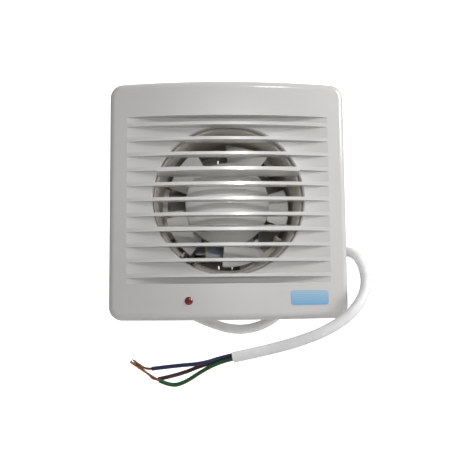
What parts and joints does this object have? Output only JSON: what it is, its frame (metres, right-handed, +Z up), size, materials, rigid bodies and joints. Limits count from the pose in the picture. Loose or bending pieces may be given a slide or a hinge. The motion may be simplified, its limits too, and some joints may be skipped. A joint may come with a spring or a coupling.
{
  "type": "bathroom extractor fan",
  "caption": "Square louvred bathroom extractor fan with a round duct spigot, an impeller on a small motor, a backdraft shutter and a free mains cable.",
  "frame": {"origin": "centre of the wall-screw pattern, where the duct axis meets the wall plane", "axes": "+Y back along the duct, -Y out of the louvred front, +X right seen from the front, +Z up"},
  "size_m": [0.1738, 0.1145, 0.2003],
  "materials": {
    "white_abs": "glossy moulded white ABS",
    "base_abs": "satin moulded white ABS",
    "label_film": "thin printed pale-blue film",
    "red_lens": "clear moulded dark red",
    "lamp_glass": "clear glass",
    "tinned_wire": "tinned wire",
    "resistor_body": "lacquered body",
    "flap_plastic": "thin moulded plastic",
    "steel": "ground steel",
    "spring_steel": "spring wire and strip",
    "impeller_abs": "moulded white plastic",
    "rotor_metal": "cast aluminium cage on steel",
    "washer_plastic": "natural nylon",
    "lamination_steel": "punched laminations",
    "copper": "bright copper",
    "winding_copper": "enamelled copper wire under blue-grey tape",
    "bobbin_plastic": "moulded nylon",
    "zinc_plate": "zinc-plated pressing",
    "bronze": "sintered bronze",
    "screw_steel": "zinc-plated screws and nuts",
    "terminal_plastic": "natural nylon",
    "brass": "turned brass",
    "grommet_rubber": "soft white rubber",
    "cable_pvc": "soft white PVC sheath",
    "blue_pvc": "PVC insulation",
    "brown_pvc": "PVC insulation",
    "green_pvc": "green and yellow PVC insulation"
  },
  "bodies": {
    "housing": {"front_cover": "white_abs", "cover_label": "label_film", "indicator_lens": "red_lens", "neon_lamp": "lamp_glass", "lamp_leads": "tinned_wire", "lamp_resistor": "resistor_body", "base_frame": "base_abs", "flap_pin": "steel", "stator_stack": "lamination_steel", "shading_rings": "copper", "coil_bobbin": "bobbin_plastic", "coil_winding": "winding_copper", "front_bracket": "zinc_plate", "rear_bracket": "zinc_plate", "front_bush": "bronze", "rear_bush": "bronze", "motor_screws": "screw_steel", "motor_nuts": "screw_steel", "terminal_block": "terminal_plastic", "terminal_clamps": "brass", "terminal_screws": "screw_steel", "terminal_fixing_screws": "screw_steel", "cable_grommet": "grommet_rubber", "cable_inside": "cable_pvc", "inner_live": "brown_pvc", "inner_neutral": "blue_pvc", "inner_earth": "green_pvc", "lead_live": "brown_pvc", "lead_neutral": "blue_pvc", "lead_earth": "green_pvc", "mains_cable": "cable_pvc", "core_blue": "blue_pvc", "core_brown": "brown_pvc", "core_green": "green_pvc", "bare_ends": "copper"},
    "impeller_set": {"impeller": "impeller_abs", "hub_clip": "spring_steel", "motor_shaft": "steel", "rotor": "rotor_metal", "thrust_washers": "washer_plastic"},
    "left_flap": {"flap_left": "flap_plastic", "flap_spring_left": "spring_steel"},
    "right_flap": {"flap_right": "flap_plastic", "flap_spring_right": "spring_steel"}
  },
  "joints": [
    {"name": "impeller_spin", "type": "hinge", "parent": "housing", "child": "impeller_set", "pos_m": [0, 0, 0], "axis": [0, 1, 0], "continuous": true},
    {"name": "left_flap_swing", "type": "hinge", "parent": "housing", "child": "left_flap", "pos_m": [0, 0.07, 0], "axis": [0, 0, -1], "range_deg": [0, 75], "stiffness_Nm_per_rad": 0.0004, "springref_deg": -17.19},
    {"name": "right_flap_swing", "type": "hinge", "parent": "housing", "child": "right_flap", "pos_m": [0, 0.07, 0], "axis": [0, 0, 1], "range_deg": [0, 75], "stiffness_Nm_per_rad": 0.0004, "springref_deg": -17.19}
  ]
}
